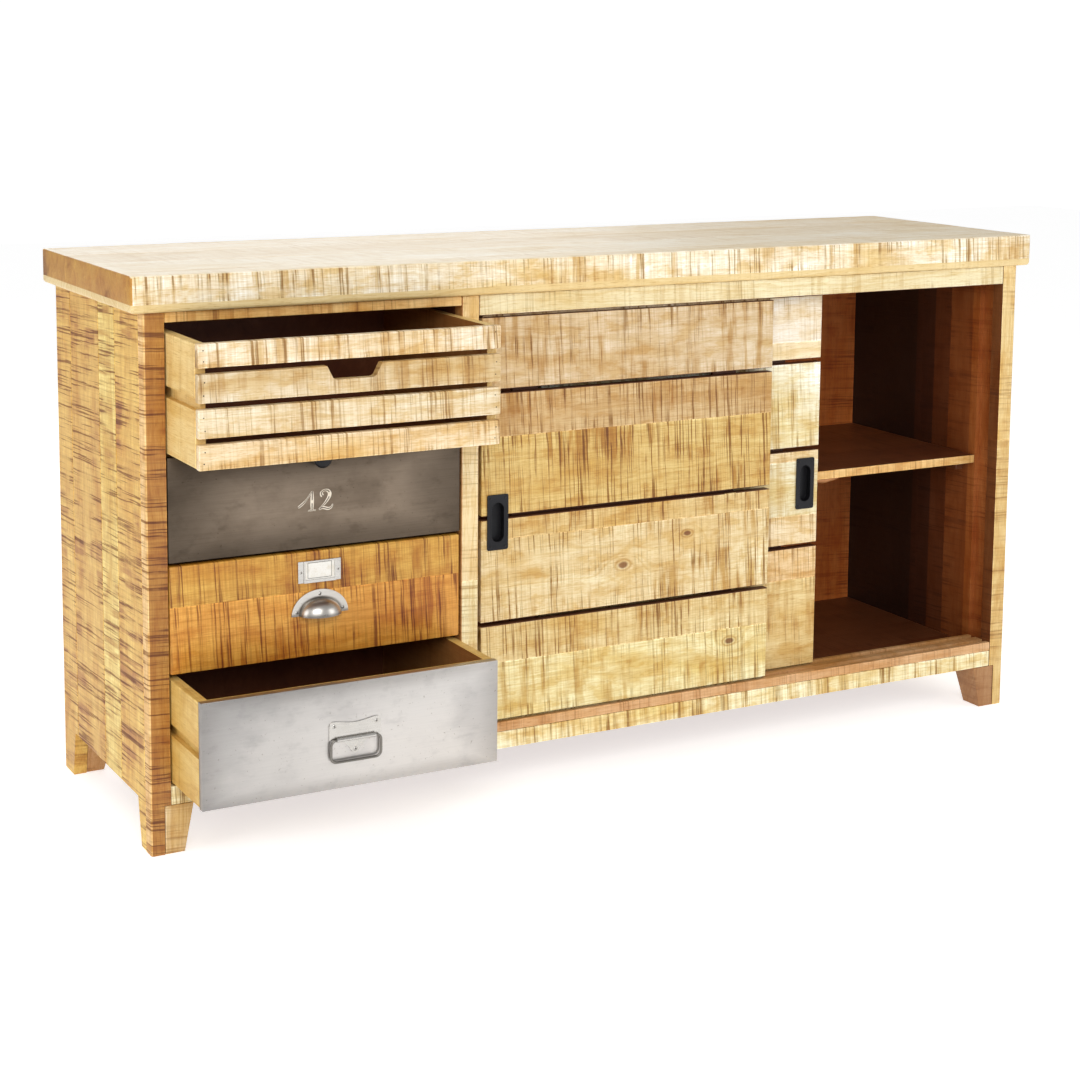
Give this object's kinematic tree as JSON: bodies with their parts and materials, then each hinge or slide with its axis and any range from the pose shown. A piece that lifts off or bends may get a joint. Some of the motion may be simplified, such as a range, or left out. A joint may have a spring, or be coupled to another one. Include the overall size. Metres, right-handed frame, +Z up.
{
  "type": "sideboard buffet",
  "caption": "Sideboard buffet in rough-sawn wood with a stack of mixed-front drawers, sliding plank doors and a shelved bay.",
  "frame": {"origin": "middle of the bounding box at floor level, with the top and bottom drawers partly open", "axes": "+X along the length to the right seen from the front, +Y from front to back, +Z up"},
  "size_m": [1.6, 0.563, 0.8328],
  "materials": {
    "pale_wood": "rough-sawn pale mango wood under clear wax",
    "golden_wood": "golden brown waxed wood",
    "stained_wood": "dark red-brown stain inside the cabinet",
    "gunmetal_sheet": "darkened sheet steel with a cloudy patina",
    "steel_sheet": "bare sheet steel with a few dents",
    "black_iron": "black painted iron",
    "nickel": "satin nickel plate"
  },
  "bodies": {
    "cabinet": {"back_panel": "stained_wood", "floor_panel": "stained_wood", "foot_back_left": "pale_wood", "foot_back_right": "pale_wood", "foot_front_left": "pale_wood", "foot_front_right": "pale_wood", "partition": "stained_wood", "post_centre": "pale_wood", "post_front_left": "pale_wood", "post_front_right": "pale_wood", "rail_bottom": "pale_wood", "rail_top_doors": "pale_wood", "rail_top_drawers": "pale_wood", "runner_1_left": "stained_wood", "runner_1_right": "stained_wood", "runner_2_left": "stained_wood", "runner_2_right": "stained_wood", "runner_3_left": "stained_wood", "runner_3_right": "stained_wood", "runner_4_left": "stained_wood", "runner_4_right": "stained_wood", "shelf": "stained_wood", "shelf_cleat_left": "stained_wood", "shelf_cleat_right": "stained_wood", "side_left": "pale_wood", "side_right": "pale_wood", "sill_track": "pale_wood", "top_slab": "pale_wood"},
    "drawer_1": {"drawer_1_bottom": "stained_wood", "drawer_1_box": "pale_wood", "drawer_1_slat_1": "pale_wood", "drawer_1_slat_2": "pale_wood", "drawer_1_slat_3": "pale_wood", "drawer_1_slat_4": "pale_wood"},
    "drawer_2": {"drawer_2_bottom": "stained_wood", "drawer_2_box": "pale_wood", "drawer_2_knob": "black_iron", "drawer_2_sheet": "gunmetal_sheet"},
    "drawer_3": {"drawer_3_bottom": "stained_wood", "drawer_3_box": "pale_wood", "drawer_3_cup_pull": "nickel", "drawer_3_front": "golden_wood", "drawer_3_label_holder": "nickel"},
    "drawer_4": {"drawer_4_bottom": "stained_wood", "drawer_4_box": "pale_wood", "drawer_4_handle_plate": "nickel", "drawer_4_sheet": "steel_sheet"},
    "drawer_4_bail": {"drawer_4_bail": "nickel"},
    "door_front": {"door_front_battens": "stained_wood", "door_front_board_1": "pale_wood", "door_front_board_2": "pale_wood", "door_front_board_3": "pale_wood", "door_front_board_4": "pale_wood", "door_front_pull": "black_iron"},
    "door_rear": {"door_rear_battens": "stained_wood", "door_rear_board_1": "pale_wood", "door_rear_board_2": "pale_wood", "door_rear_board_3": "pale_wood", "door_rear_board_4": "pale_wood", "door_rear_pull": "black_iron"}
  },
  "joints": [
    {"name": "drawer_1_slide", "type": "slide", "parent": "cabinet", "child": "drawer_1", "axis": [0, -1, 0], "range_m": [-0.132, 0.148]},
    {"name": "drawer_2_slide", "type": "slide", "parent": "cabinet", "child": "drawer_2", "axis": [0, -1, 0], "range_m": [0, 0.28]},
    {"name": "drawer_3_slide", "type": "slide", "parent": "cabinet", "child": "drawer_3", "axis": [0, -1, 0], "range_m": [0, 0.28]},
    {"name": "drawer_4_slide", "type": "slide", "parent": "cabinet", "child": "drawer_4", "axis": [0, -1, 0], "range_m": [-0.127, 0.153]},
    {"name": "door_front_slide", "type": "slide", "parent": "cabinet", "child": "door_front", "axis": [1, 0, 0], "range_m": [-0.005, 0.4725]},
    {"name": "door_rear_slide", "type": "slide", "parent": "cabinet", "child": "door_rear", "axis": [1, 0, 0], "range_m": [-0.122, 0.3649]},
    {"name": "drawer_4_bail_swing", "type": "hinge", "parent": "drawer_4", "child": "drawer_4_bail", "pos_m": [-0.5195, -0.27845, 0.1756], "axis": [-1, 0, 0], "range_deg": [0, 95]}
  ]
}
